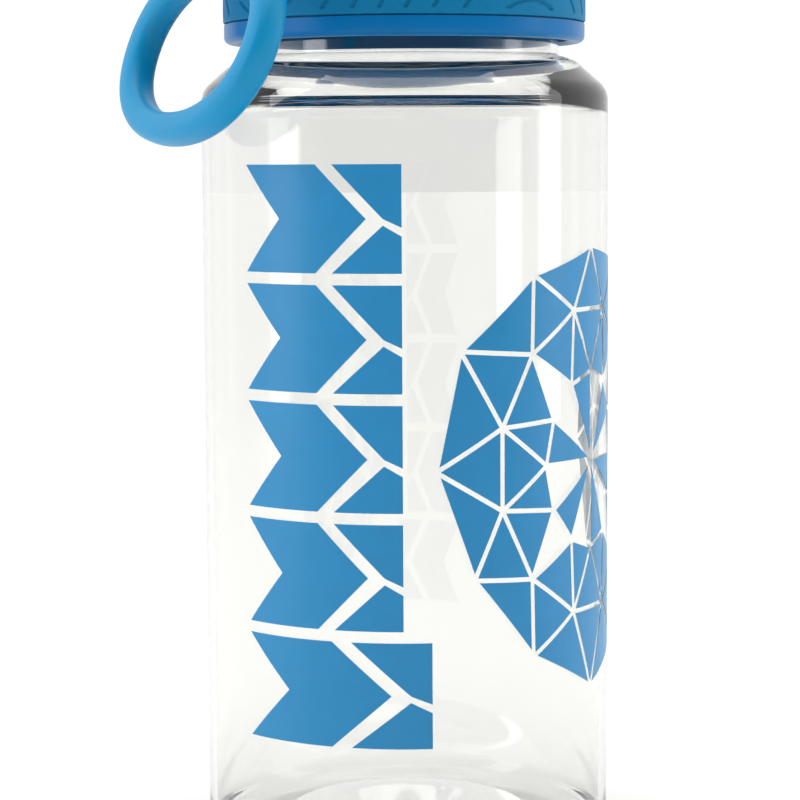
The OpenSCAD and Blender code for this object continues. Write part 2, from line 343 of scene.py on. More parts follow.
def swept(
    name: str, route: np.ndarray, section: np.ndarray, across: Sequence[float]
) -> bpy.types.Object:
    """Sweeps a section along a route and closes both ends.

    Args:
        name: the object's name.
        route: the route's points in millimetres.
        section: the section's points, across and along the given direction.
        across: a direction that the route never runs along, which the section's second axis follows.

    Returns:
        The new object.
    """
    ahead = np.gradient(route, axis=0)
    ahead /= np.linalg.norm(ahead, axis=1)[:, None]
    up = np.array(across, float)
    side = np.cross(ahead, up)
    side /= np.linalg.norm(side, axis=1)[:, None]
    top = np.cross(side, ahead)
    points = route[:, None] + section[None, :, :1] * side[:, None] + section[None, :, 1:] * top[:, None]
    return grid_object(name, points, close_rows=False, caps=True)


def squircle(half_w: float, half_h: float, power: float, steps: int) -> np.ndarray:
    """Points of a rounded square section.

    Args:
        half_w: half its width.
        half_h: half its height.
        power: 2 for an ellipse, more for squarer sides.
        steps: number of points.

    Returns:
        The points, steps by two.
    """
    a = np.linspace(0, 2 * np.pi, steps, endpoint=False)
    c, s = np.cos(a), np.sin(a)
    return np.stack(
        [half_w * np.sign(c) * np.abs(c) ** (2 / power), half_h * np.sign(s) * np.abs(s) ** (2 / power)], -1
    )


# ---------------------------------------------------------------- finishes


@dataclass(frozen=True)
class Finish:
    """A finish that every material starts from: a Principled shader with even values on its own sockets."""

    name: str
    colour: str
    roughness: float
    ior: float = 1.5
    metallic: float = 0.0
    extra: dict = field(default_factory=dict)

    def build(self) -> bpy.types.Material:
        """Makes the material, with its surface detail."""
        material = bpy.data.materials.new(self.name)
        material.use_nodes = True
        tree = material.node_tree
        tree.nodes.clear()
        shader = add_node(
            tree,
            "ShaderNodeBsdfPrincipled",
            {
                "Base Color": linear(self.colour),
                "Roughness": self.roughness,
                "IOR": self.ior,
                "Metallic": self.metallic,
                **self.extra,
            },
        )
        add_node(tree, "ShaderNodeOutputMaterial", links={"Surface": shader.outputs["BSDF"]})
        self.detail(tree, shader)
        return material

    def detail(self, tree: bpy.types.NodeTree, shader: bpy.types.Node) -> None:
        """Adds the surface's own pattern; the plain finish has none."""


@dataclass(frozen=True)
class MouldedPlastic(Finish):
    """Injection-moulded plastic: a fine spark-eroded grain breaks up the gloss, with faint flow tone."""

    grain_mm: float = 0.35
    grain_depth_mm: float = 0.004
    tone: float = 0.03

    def detail(self, tree: bpy.types.NodeTree, shader: bpy.types.Node) -> None:
        """Adds the mould's grain as bump and slow changes of tone and gloss.

        Args:
            tree: the material's node tree.
            shader: its Principled shader.
        """
        where = add_node(tree, "ShaderNodeTexCoord").outputs["Object"]
        # Real grain is about 0.1 mm; it is drawn coarser so that it shows
        grain = add_node(
            tree,
            "ShaderNodeTexNoise",
            {"Scale": 1 / (self.grain_mm * MM), "Detail": 2.0, "Roughness": 0.6},
            {"Vector": where},
        )
        bump = add_node(
            tree,
            "ShaderNodeBump",
            {"Strength": 0.5, "Distance": self.grain_depth_mm * MM},
            {"Height": grain.outputs["Fac"]},
        )
        tree.links.new(bump.outputs["Normal"], shader.inputs["Normal"])
        # Flow marks: tone drifts over about 9 mm
        drift = add_node(
            tree, "ShaderNodeTexNoise", {"Scale": 1 / (9 * MM), "Detail": 3.0}, {"Vector": where}
        )
        tint = add_node(
            tree,
            "ShaderNodeMapRange",
            {"From Min": 0.3, "From Max": 0.7, "To Min": 1 - self.tone, "To Max": 1 + self.tone},
            {"Value": drift.outputs["Fac"]},
        )
        shade = add_node(
            tree,
            "ShaderNodeHueSaturation",
            {"Color": linear(self.colour)},
            {"Value": tint.outputs["Result"]},
        )
        tree.links.new(shade.outputs["Color"], shader.inputs["Base Color"])
        gloss = add_node(
            tree,
            "ShaderNodeMapRange",
            {"To Min": self.roughness * 0.88, "To Max": self.roughness * 1.12},
            {"Value": grain.outputs["Fac"]},
        )
        tree.links.new(gloss.outputs["Result"], shader.inputs["Roughness"])


@dataclass(frozen=True)
class ClearPlastic(Finish):
    """Clear blow-moulded copolyester: bright and see-through, with very slow ripples from the mould."""

    ripple_mm: float = 22.0
    ripple_depth_mm: float = 0.02

    def detail(self, tree: bpy.types.NodeTree, shader: bpy.types.Node) -> None:
        """Adds the slow ripple that bends reflections a little.

        Args:
            tree: the material's node tree.
            shader: its Principled shader.
        """
        where = add_node(tree, "ShaderNodeTexCoord").outputs["Object"]
        stretch = add_node(
            tree, "ShaderNodeMapping", {"Scale": (1.0, 1.0, 0.35)}, {"Vector": where}
        ).outputs["Vector"]
        ripple = add_node(
            tree,
            "ShaderNodeTexNoise",
            {"Scale": 1 / (self.ripple_mm * MM), "Detail": 1.0},
            {"Vector": stretch},
        )
        bump = add_node(
            tree,
            "ShaderNodeBump",
            {"Strength": 0.25, "Distance": self.ripple_depth_mm * MM},
            {"Height": ripple.outputs["Fac"]},
        )
        tree.links.new(bump.outputs["Normal"], shader.inputs["Normal"])
        # Shadow and diffuse rays pass straight through, dimmed, so what is inside and behind is lit
        path = add_node(tree, "ShaderNodeLightPath")
        passes = add_node(
            tree,
            "ShaderNodeMath",
            {"operation": "MAXIMUM"},
            {0: path.outputs["Is Shadow Ray"], 1: path.outputs["Is Diffuse Ray"]},
        )
        through = add_node(tree, "ShaderNodeBsdfTransparent", {"Color": linear("#e4e5e2")})
        mix = add_node(
            tree,
            "ShaderNodeMixShader",
            links={
                0: passes.outputs["Value"],
                1: shader.outputs["BSDF"],
                2: through.outputs["BSDF"],
            },
        )
        tree.links.new(mix.outputs["Shader"], tree.nodes["Material Output"].inputs["Surface"])


@dataclass(frozen=True)
class ScreenInk(Finish):
    """Screen-printed ink: an even film that keeps the fine weave of the mesh it was pushed through."""

    mesh_mm: float = 0.4

    def detail(self, tree: bpy.types.NodeTree, shader: bpy.types.Node) -> None:
        """Adds the screen's faint weave and a slight unevenness of the film.

        Args:
            tree: the material's node tree.
            shader: its Principled shader.
        """
        where = add_node(tree, "ShaderNodeTexCoord").outputs["Object"]
        # A real screen has about 0.1 mm between threads; it is drawn coarser so that it shows
        weave = add_node(
            tree,
            "ShaderNodeTexVoronoi",
            {"Scale": 1 / (self.mesh_mm * MM), "Randomness": 0.35},
            {"Vector": where},
        )
        bump = add_node(
            tree,
            "ShaderNodeBump",
            {"Strength": 0.3, "Distance": 0.003 * MM},
            {"Height": weave.outputs["Distance"]},
        )
        tree.links.new(bump.outputs["Normal"], shader.inputs["Normal"])
        film = add_node(tree, "ShaderNodeTexNoise", {"Scale": 1 / (4 * MM), "Detail": 4.0}, {"Vector": where})
        tint = add_node(
            tree,
            "ShaderNodeMapRange",
            {"From Min": 0.3, "From Max": 0.7, "To Min": 0.97, "To Max": 1.03},
            {"Value": film.outputs["Fac"]},
        )
        shade = add_node(
            tree, "ShaderNodeHueSaturation", {"Color": linear(self.colour)}, {"Value": tint.outputs["Result"]}
        )
        tree.links.new(shade.outputs["Color"], shader.inputs["Base Color"])


@dataclass(frozen=True)
class DrawnWire(Finish):
    """Drawn or ground stainless steel: bright, with fine lines along its length."""

    line_mm: float = 0.12

    def detail(self, tree: bpy.types.NodeTree, shader: bpy.types.Node) -> None:
        """Adds fine drawing lines to the gloss.

        Args:
            tree: the material's node tree.
            shader: its Principled shader.
        """
        where = add_node(tree, "ShaderNodeTexCoord").outputs["Object"]
        lines = add_node(
            tree, "ShaderNodeTexNoise", {"Scale": 1 / (self.line_mm * MM), "Detail": 2.0}, {"Vector": where}
        )
        gloss = add_node(
            tree,
            "ShaderNodeMapRange",
            {"To Min": self.roughness * 0.7, "To Max": self.roughness * 1.3},
            {"Value": lines.outputs["Fac"]},
        )
        tree.links.new(gloss.outputs["Result"], shader.inputs["Roughness"])


class Palette:
    """Every finish on the bottle, each built once."""

    def __init__(self) -> None:
        """Builds the materials."""
        # Clear copolyester bends light a little more than acrylic, so it is bright with hard highlights
        self.clear = ClearPlastic(
            "clear_blow_moulded_copolyester",
            "#f5f5f3",
            0.0,
            ior=1.56,
            extra={"Transmission Weight": 1.0},
        ).build()
        # Polypropylene off a satin tool: soft highlights over a deep blue
        self.lid = MouldedPlastic(
            "satin_moulded_polypropylene", "#0070b1", 0.32, extra={"Specular IOR Level": 0.16}
        ).build()
        # Rubber moulded over the lid: greener and duller than the hard plastic, with a soft sheen
        self.grip = MouldedPlastic(
            "overmoulded_thermoplastic_rubber",
            "#0078a8",
            0.62,
            grain_mm=0.3,
            grain_depth_mm=0.01,
            extra={"Specular IOR Level": 0.16, "Sheen Weight": 0.04, "Sheen Roughness": 0.4},
        ).build()
        # Lighter blue polypropylene of the loop and button, finely matt
        self.loop = MouldedPlastic(
            "matt_moulded_polypropylene",
            "#0090c4",
            0.42,
            grain_mm=0.3,
            grain_depth_mm=0.006,
            extra={"Specular IOR Level": 0.3},
        ).build()
        # Silicone mouthpiece: soft, slightly milky blue
        self.spout = MouldedPlastic(
            "moulded_blue_silicone",
            "#4fb3d6",
            0.45,
            ior=1.41,
            extra={"Subsurface Weight": 0.25, "Subsurface Scale": 0.002},
        ).build()
        # Silicone seals: milky white, dull
        self.seal = MouldedPlastic(
            "moulded_white_silicone",
            "#dfe4e3",
            0.5,
            ior=1.41,
            tone=0.015,
            extra={"Subsurface Weight": 0.3, "Subsurface Scale": 0.002},
        ).build()
        self.wire = DrawnWire("drawn_stainless_wire", "#c9cbcd", 0.28, metallic=1.0).build()
        self.pin = DrawnWire("ground_stainless_pin", "#d0d2d4", 0.22, metallic=1.0).build()
        # Opaque blue ink, a little glossy, and the thinner film along its edges, which reads paler
        self.ink = ScreenInk("screen_printed_ink", "#0a88c2", 0.36).build()
        self.ink_edge = ScreenInk("thin_edge_of_screen_printed_ink", "#58b4dc", 0.36).build()


def dress(
    obj: bpy.types.Object,
    body: Body,
    materials: Sequence[bpy.types.Material],
    stands_for: str | None = None,
) -> None:
    """Gives a piece its materials, its body and the CAD node that it stands for.

    Args:
        obj: the piece.
        body: the body that it rides on.
        materials: its materials, in slot order.
        stands_for: the CAD node that it replaces, if any.
    """
    obj.data.materials.clear()
    for material in materials:
        obj.data.materials.append(material)
    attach(obj, body.value)
    if stands_for:
        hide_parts(stands_for)
    LOG.info("%-20s rides on %-7s %6d faces", obj.name, body.value, len(obj.data.polygons))


# ---------------------------------------------------------------- the lid's shared sizes


@dataclass(frozen=True)
class LidSizes:
    """Levels and radii that the lid's pieces share, in millimetres, with the lid's turn."""

    ledge_z: float = 148.5
    rim_z: float = 164.5
    skirt_z: float = 150.9
    skirt_top_z: float = 154.4
    band_z: float = 154.6
    band_top_z: float = 171.4
    deck_z: float = 166.3
    deck_top_z: float = 168.3
    crown_z: float = 179.0
    spout_top_z: float = 190.0
    roof_z: float = 192.0
    dome_top_z: float = 195.0
    lid_r: float = 33.3
    cap_r: float = 32.0
    bore_r: float = 30.4
    plug_r: float = 26.6
    plug_in_r: float = 25.2
    spigot_r: float = 29.4
    pitch: float = 4.0
    thread_h: float = 1.4
    thread_turns: float = 1.4
    neck_thread_z: float = 156.4
    yaw: float = math.radians(-148.6)
    pivot_x: float = 36.8
    pivot_z: float = 164.3
    hinge_y: float = -25.5
    pad_half: float = 5.8
    hinge_z: float = 184.0
    knuckle_r: float = 3.2
    button_half_w: float = 8.5
    button_z: float = 169.0
    button_top_z: float = 176.3
    gap: float = 0.3

    def button_way(self, back_y: float, low_z: float, high_z: float) -> bpy.types.Object:
        """Makes the block that clears a way for the button out through the lid's side.

        Args:
            back_y: where the way starts.
            low_z: its floor.
            high_z: its roof.

        Returns:
            The block, not yet turned.
        """
        half = self.button_half_w + self.gap
        return block((-half, back_y, low_z), (half, 46, high_z))

    def lug_pad(self, radius: float, start: float, end: float) -> list[bpy.types.Object]:
        """Makes the solids of the round-ended pad behind the loop's lug.

        Args:
            radius: radius of its round ends.
            start: where it starts along X.
            end: where it ends along X.

        Returns:
            Two bars and the block between them, not yet turned.
        """
        low, high = self.pivot_z - radius, self.pivot_z + radius
        sides = (-self.pad_half, self.pad_half)
        ends = [rod("X", (0, y, self.pivot_z), radius, start, end) for y in sides]
        return [*ends, block((start, sides[0], low), (end, sides[1], high))]

    def turn(self, obj: bpy.types.Object) -> bpy.types.Object:
        """Turns a piece made with the loop at +X and the button at +Y to where it sits on the bottle."""
        obj.data.transform(Matrix.Rotation(self.yaw, 4, "Z"))
        return obj

    def ridge(self, angle: np.ndarray, z: np.ndarray, base_z: float) -> np.ndarray:
        """Height of a helical thread ridge above its wall, from 0 to 1, tapering at its ends.

        Args:
            angle: angle round the axis in radians.
            z: height in millimetres.
            base_z: height of the ridge's centre where the thread starts.

        Returns:
            The share of the full ridge height at each place.
        """
        share = np.zeros(np.broadcast(angle, z).shape)
        for turn in range(3):
            wound = angle / (2 * np.pi) + turn
            off = np.abs(z - base_z - self.pitch * wound)
            flank = np.clip((1.15 - off) / 0.6, 0, 1)
            run_in = np.clip(wound / 0.06, 0, 1) * np.clip((self.thread_turns - wound) / 0.06, 0, 1)
            share = np.maximum(share, flank * flank * (3 - 2 * flank) * run_in)
        return share


# ---------------------------------------------------------------- the bottle


@dataclass(frozen=True)
class BottleBody:
    """The clear body: foot, wall, shoulder and threaded neck as one thick skin."""

    lid: LidSizes
    palette: Palette
    radius: float = 37.5
    wall: float = 1.4
    neck_r: float = 28.4
    bore_r: float = 27.0
    corner_z: float = 142.3
    corner_r: float = 4.5
    slope: float = 42.0
    inner_slope: float = 30.0
    foot_in_r: float = 26.0
    foot_r: float = 6.0
    punt: float = 2.6
    floor_z: float = 4.4

    def section(self) -> list[Point2]:
        """Outline of the wall from the punt, up the outside, over the rim and down the inside."""
        top = self.lid.rim_z
        ledge = self.lid.ledge_z
        reach = self.corner_r * math.tan(math.radians((90 - self.slope) / 2))
        outside = [(0.0, self.punt), (9.0, self.punt - 0.2)]
        outside += arc(self.foot_in_r - 6.5, 1.4, 6.6, 90, 12, 8)[2:]
        outside += [(self.foot_in_r + 1.1, 0.06), (self.foot_in_r + 2.0, 0.0), (self.radius - 7.0, 0.0)]
        outside += arc(self.radius - self.foot_r, self.foot_r, self.foot_r, -86, 0, 16)
        outside += arc(self.radius - self.corner_r, self.corner_z - reach, self.corner_r, 0, 48, 20)
        outside += [(self.neck_r + 3.2, ledge - 0.95), (self.neck_r + 2.7, ledge - 0.65)]
        outside += [(self.neck_r + 2.0, ledge - 0.4), (self.neck_r + 1.2, ledge - 0.2)]
        outside += arc(self.neck_r + 0.25, ledge + 0.2, 0.25, 262, 180, 5)
        outside += arc(self.neck_r - 0.5, top - 0.5, 0.5, 0, 90, 5)
        inside = arc(self.bore_r + 0.35, top - 0.35, 0.35, 90, 180, 4)
        # The moulding is thick under the neck, so the shoulder's inside is flatter than its outside
        lean = math.radians(self.inner_slope)
        sx, sz = self.bore_r + 2 - 2 * math.sin(lean), ledge - 2.3 - 2 * math.cos(lean)
        ex = self.radius - self.wall - 3 + 3 * math.sin(lean)
        ez = sz - (ex - sx) * math.tan(lean)
        inside += arc(self.bore_r + 2, ledge - 2.3, 2, 180, 270 - self.inner_slope, 14)
        inside += arc(self.radius - self.wall - 3, ez - 3 * math.cos(lean), 3, 90 - self.inner_slope, 0, 18)
        inside += arc(self.radius - self.wall - 5, self.floor_z + 5, 5, 0, -84, 14)
        inside += [(20.0, self.floor_z - 0.15), (9.0, self.floor_z - 0.05), (0.0, self.floor_z)]
        return dense(outside + inside, 3.0, closed=False)

    def longest_side(self, start: Point2, end: Point2) -> float:
        """Longest side allowed between two points of the section.

        Args:
            start: radius and height where the side starts.
            end: radius and height where it ends.

        Returns:
            Short steps on the neck for its thread and on the shoulder, which bends light, or else long ones.
        """
        low, high = min(start[1], end[1]), max(start[1], end[1])
        if low > self.lid.ledge_z and start[0] > self.neck_r - 0.1:
            return 0.22
        return 0.3 if low > 136 and high < 150 else 9.0

    def build(self) -> None:
        """Makes and dresses the body."""

        def relief(r: np.ndarray, z: np.ndarray, angle: np.ndarray) -> np.ndarray:
            """Thread on the neck, and the uneven inside that blow moulding leaves."""
            on_neck = (r > self.neck_r - 0.05) & (r < self.neck_r + 0.05) & (z > self.lid.ledge_z)
            thread = self.lid.thread_h * self.lid.ridge(angle, z, self.lid.neck_thread_z) * on_neck
            shoulder = np.exp(-(((z - 144.5) / 3.5) ** 2)) * (r < self.radius - 1.2) * (r > self.bore_r + 0.2)
            inner = shoulder * (z < self.lid.ledge_z) * self.is_inside(r, z)
            waves = (
                0.05 * np.cos(2 * angle + 0.7)
                + 0.035 * np.cos(5 * angle + 1.9 + z * 0.5)
                + 0.02 * np.cos(9 * angle + 0.4 - z * 0.8)
            )
            return thread + inner * waves

        outline = dense(self.section(), self.longest_side, closed=False)
        body = turned("clear_body", outline, 288, relief)
        dress(smooth(body, 50), Body.BOTTLE, [self.palette.clear], "bottle_body")

    def is_inside(self, r: np.ndarray, z: np.ndarray) -> np.ndarray:
        """Tells the shoulder's inner face from its outer face by the straight line between them."""
        return (r + (z - self.corner_z) * 1.11) < self.radius - 1.0


@dataclass(frozen=True)
class PrintedPattern:
    """Screen-printed decoration of plain shapes: a column of arrows and a cut gem."""

    palette: Palette
    radius: float = 37.5
    film: float = 0.04
    gap: float = 0.02
    edge: float = 0.22
    column_left: float = -31.4
    column_right: float = -0.7
    column_top: float = 129.0
    column_low: float = 27.5
    rows: int = 5
    row_gap: float = 2.0
    gem_at: Point2 = (40.6, 76.0)
    gem_half: Point2 = (34.6, 40.0)
    gem_sides: int = 12
    facet_gap: float = 0.42
    low_row_extra: float = 5.0

    def arrows(self) -> list[list[Point2]]:
        """Outlines of the arrow and its two corner triangles in each row of the column."""
        high = (self.column_top - self.column_low - self.row_gap * (self.rows - 1)) / self.rows
        shapes = [
            [(0.0, 1.0), (0.50, 1.0), (0.80, 0.5), (0.50, 0.0), (0.0, 0.0), (0.26, 0.5)],
            [(0.60, 1.0), (1.0, 1.0), (1.0, 0.42), (0.895, 0.5)],
            [(0.895, 0.44), (1.0, 0.34), (1.0, 0.0), (0.60, 0.0)],
        ]
        outlines = []
        for row in range(self.rows):
            low = self.column_low + row * (high + self.row_gap)
            right = self.column_right + (self.low_row_extra if row == 0 else 0.0)
            wide = right - self.column_left
            for shape in shapes:
                outlines.append([(self.column_left + x * wide, low + y * high) for x, y in shape])
        return outlines

    def gem(self) -> list[list[Point2]]:
        """Outlines of the gem's facets, which leave thin clear lines between them."""
        rings = []
        for level, reach in enumerate((1.0, 0.70, 0.40, 0.0)):
            corners = []
            for k in range(self.gem_sides):
                a = 2 * math.pi * (k + 0.5 * (level % 2)) / self.gem_sides
                swell = 1.0 - 0.05 * math.cos(3 * a + 0.6) if level == 0 else 1.0
                corners.append(
                    (
                        self.gem_at[0] + self.gem_half[0] * reach * swell * math.sin(a),
                        self.gem_at[1] + self.gem_half[1] * reach * swell * math.cos(a),
                    )
                )
            rings.append(corners)
        facets = []
        for level in range(3):
            outer, inner = rings[level], rings[level + 1]
            shift = level % 2
            for k in range(self.gem_sides):
                ahead = (k + 1) % self.gem_sides
                if level == 2:
                    if k % 2:
                        facets.append([outer[k], outer[ahead], inner[k]])
                    continue
                tip = inner[(k + shift) % self.gem_sides]
                facets.append([outer[k], outer[ahead], tip])
                if level == 0 or k % 3:
                    facets.append([outer[ahead], inner[(ahead + shift) % self.gem_sides], tip])
        return [self.shrunk(facet, self.facet_gap) for facet in facets]

    @staticmethod
    def shrunk(facet: list[Point2], gap: float) -> list[Point2]:
        """Moves a triangle's sides inwards.

        Args:
            facet: its three corners.
            gap: how far each side moves.

        Returns:
            The smaller triangle's corners.
        """
        a, b, c = (Vector(p) for p in facet)
        la, lb, lc = (b - c).length, (c - a).length, (a - b).length
        centre = (a * la + b * lb + c * lc) / (la + lb + lc)
        area = abs((b - a).cross(c - a)) / 2
        inradius = 2 * area / (la + lb + lc)
        keep = max(0.05, 1 - gap / inradius)
        return [tuple(centre + (p - centre) * keep) for p in (a, b, c)]

    def wrapped(self, name: str, outlines: list[list[Point2]]) -> bpy.types.Object:
        """Wraps flat outlines round the bottle as a thin closed film with a paler edge.

        Args:
            name: the piece's name.
            outlines: flat outlines, in millimetres round the wall from the front, and up.

        Returns:
            The printed piece.
        """
        film = bmesh.new()
        for outline in outlines:
            film.faces.new([film.verts.new((x, 0.0, z)) for x, z in outline])
        rims = bmesh.ops.inset_individual(
            film, faces=film.faces[:], thickness=self.edge, use_even_offset=True
        )
        for face in rims["faces"]:
            face.material_index = 1
        bmesh.ops.triangulate(film, faces=film.faces[:])
        first = min(p[0] for outline in outlines for p in outline)
        last = max(p[0] for outline in outlines for p in outline)
        for k in range(1, math.ceil(last - first)):
            everything = film.verts[:] + film.edges[:] + film.faces[:]
            bmesh.ops.bisect_plane(
                film, geom=everything, plane_co=(first + k, 0, 0), plane_no=(1, 0, 0), dist=1e-5
            )
        outside = bmesh.ops.extrude_face_region(film, geom=film.faces[:])
        for item in outside["geom"]:
            if isinstance(item, bmesh.types.BMVert):
                item.co.y = self.film
        for vert in film.verts:
            a = vert.co.x / self.radius
            r = self.radius + self.gap + vert.co.y
            vert.co = Vector((r * math.sin(a), -r * math.cos(a), vert.co.z)) * MM
        bmesh.ops.recalc_face_normals(film, faces=film.faces[:])
        mesh = bpy.data.meshes.new(name)
        film.to_mesh(mesh)
        film.free()
        return smooth(new_object(name, mesh), 40)

    def build(self) -> None:
        """Makes and dresses the two prints."""
        inks = [self.palette.ink, self.palette.ink_edge]
        for name, outlines in (("arrow_print", self.arrows()), ("gem_print", self.gem())):
            dress(self.wrapped(name, outlines), Body.BOTTLE, inks)


# ---------------------------------------------------------------- the lid


@dataclass(frozen=True)
class CapShell:
    """The lid's hard base: skirt, inner thread, plug skirt, deck, and the lug that carries the loop."""

    lid: LidSizes
    palette: Palette
    skirt_round: float = 1.2
    lug_half_w: float = 6.0
    lug_r: float = 3.2
    pin_r: float = 1.5

    def shell(self) -> bpy.types.Object:
        """Makes the turned shell with its inner thread and the gap for the button."""
        s = self.lid
        out = s.lid_r - 0.15
        outline = [(s.bore_r + 0.6, s.skirt_z + 0.05)]
        outline += arc(out - self.skirt_round, s.skirt_z + self.skirt_round, self.skirt_round, -90, 0, 8)
        outline += arc(out - 0.2, s.skirt_top_z - 0.2, 0.2, 0, 90, 4)
        outline += [(s.cap_r, s.skirt_top_z), (s.cap_r, s.band_top_z), (s.spigot_r + 0.2, s.band_top_z)]
        outline += [(s.spigot_r + 0.2, s.deck_top_z), (5.5, s.deck_top_z), (5.5, s.deck_z)]
        outline += [(s.plug_in_r, s.deck_z), (s.plug_in_r, s.deck_z - 6.4)]
        outline += arc(s.plug_in_r + 0.5, s.deck_z - 6.3, 0.5, 180, 330, 5)
        outline += [(s.plug_r, s.deck_z - 5.0), (s.plug_r, s.deck_z), (s.bore_r, s.deck_z)]
        outline += [(s.bore_r, s.skirt_z + 0.6)]

        def longest_side(start: Point2, end: Point2) -> float:
            """Short steps on the bore, for the thread, and long ones elsewhere."""
            return 0.25 if all(abs(point[0] - s.bore_r) < 0.01 for point in (start, end)) else 4.0

        def relief(r: np.ndarray, z: np.ndarray, angle: np.ndarray) -> np.ndarray:
            """The inner thread, half a pitch below the neck's."""
            wall = (np.abs(r - s.bore_r) < 0.01) & (z < s.deck_z - 0.1)
            return -s.thread_h * s.ridge(angle, z, s.neck_thread_z - s.pitch / 2) * wall

        shell = turned("cap_skirt_and_deck", dense(outline, longest_side), 240, relief)
        cut(shell, [s.turn(s.button_way(26, s.button_z - s.gap, s.band_top_z + 1))])
        return shell

    def build(self) -> None:
        """Makes and dresses the shell and the lug."""
        s = self.lid
        dress(smooth(self.shell(), 40), Body.LID, [self.palette.lid], "cap_shell")
        pads = s.lug_pad(5.05, s.cap_r - 0.6, s.lid_r + 0.1)
        neck = block(
            (s.cap_r - 0.4, -self.lug_half_w, s.pivot_z - 2.4), (s.pivot_x, self.lug_half_w, s.pivot_z + 2.4)
        )
        barrel = rod("Y", (s.pivot_x, 0, s.pivot_z), self.lug_r, -self.lug_half_w, self.lug_half_w)
        lug = fused("loop_lug", [*pads, neck, barrel], 0.2, 6)
        cut(lug, [rod("Y", (s.pivot_x, 0, s.pivot_z), self.pin_r, -9, 9)])
        s.turn(lug)
        dress(smooth(lug, 50), Body.LID, [self.palette.lid], "cap_shell")
        rib = s.turn(block((-3.2, 22.8, s.deck_top_z - 0.4), (3.2, 24.0, s.deck_top_z + 6.8), 0.3))
        rib.name = "spring_rib"
        dress(smooth(rib), Body.LID, [self.palette.lid], "cap_shell")


@dataclass(frozen=True)
class GripBand:
    """The soft band round the lid, with moulded grooves that run in wide waves."""

    lid: LidSizes
    palette: Palette
    edge: float = 0.4
    crest: float = math.radians(-48.2)
    waves: int = 2
    swing: float = 28.8
    crest_z: float = 157.35
    spacing: float = 7.9
    groove_w: float = 0.68
    groove_depth: float = 0.42
    margin: float = 1.35

    def groove(self, z: np.ndarray, angle: np.ndarray) -> np.ndarray:
        """Depth of the grooves, from 0 to 1.

        Args:
            z: height in millimetres.
            angle: angle round the axis in radians.

        Returns:
            The share of the full depth at each place.
        """
        s = self.lid
        phase = self.waves * (angle - self.crest)
        curve = self.swing * np.cos(phase)
        slope = self.swing * self.waves / s.lid_r * np.sin(phase)
        low, high = s.band_z + self.margin, s.band_top_z - self.margin
        inside = np.clip(z, low, high)
        offset = (inside - self.crest_z - curve + self.swing) / self.spacing
        miss = np.abs(offset - np.round(offset)) * self.spacing / np.sqrt(1 + slope**2)
        miss = np.hypot(miss, np.abs(z - inside))
        flank = np.clip((self.groove_w / 2 + 0.1 - miss) / 0.22, 0, 1)
        return flank * flank * (3 - 2 * flank)

    def keep_clear(self, z: np.ndarray, angle: np.ndarray) -> np.ndarray:
        """Fades the grooves out beside the lug and the button.

        Args:
            z: height in millimetres.
            angle: angle round the axis in radians.

        Returns:
            1 where grooves may run and 0 where they may not.
        """
        s = self.lid
        round_lug = np.arctan2(np.sin(angle - s.yaw), np.cos(angle - s.yaw)) * s.lid_r
        from_lug = np.hypot(np.maximum(np.abs(round_lug) - s.pad_half, 0), z - s.pivot_z) - 5.2
        button_at = s.yaw + math.pi / 2
        round_button = np.arctan2(np.sin(angle - button_at), np.cos(angle - button_at)) * s.lid_r
        aside = np.abs(round_button) - s.button_half_w - 0.5
        below = s.button_z - s.gap - z
        from_button = np.maximum(aside, below)
        return np.clip((np.minimum(from_lug, from_button) - 1.0) / 0.3, 0, 1)

    def build(self) -> None:
        """Makes and dresses the band."""
        s = self.lid
        top = s.band_top_z - 0.1
        outer = arc(s.lid_r - self.edge, s.band_z + self.edge, self.edge, -90, 0, 6)
        outer = outer[:-1] + dense([outer[-1], (s.lid_r, top - self.edge)], 0.19, closed=False)
        outer += arc(s.lid_r - self.edge, top - self.edge, self.edge, 0, 90, 6)[1:]
        outline = [(s.cap_r, s.band_z), *outer, (s.cap_r, top)]

        def relief(r: np.ndarray, z: np.ndarray, angle: np.ndarray) -> np.ndarray:
            """Cuts the grooves into the outer face."""
            face = r > s.lid_r - 0.01
            return -self.groove_depth * self.groove(z, angle) * self.keep_clear(z, angle) * face

        band = turned("grip_band", outline, 900, relief)
        tools = [*s.lug_pad(5.35, 25, 40), s.button_way(20, s.button_z - s.gap, 182)]
        cut(band, [s.turn(tool) for tool in tools])
        band.name = "rubber_grip"
        dress(smooth(band, 55), Body.LID, [self.palette.grip], "grip_band")


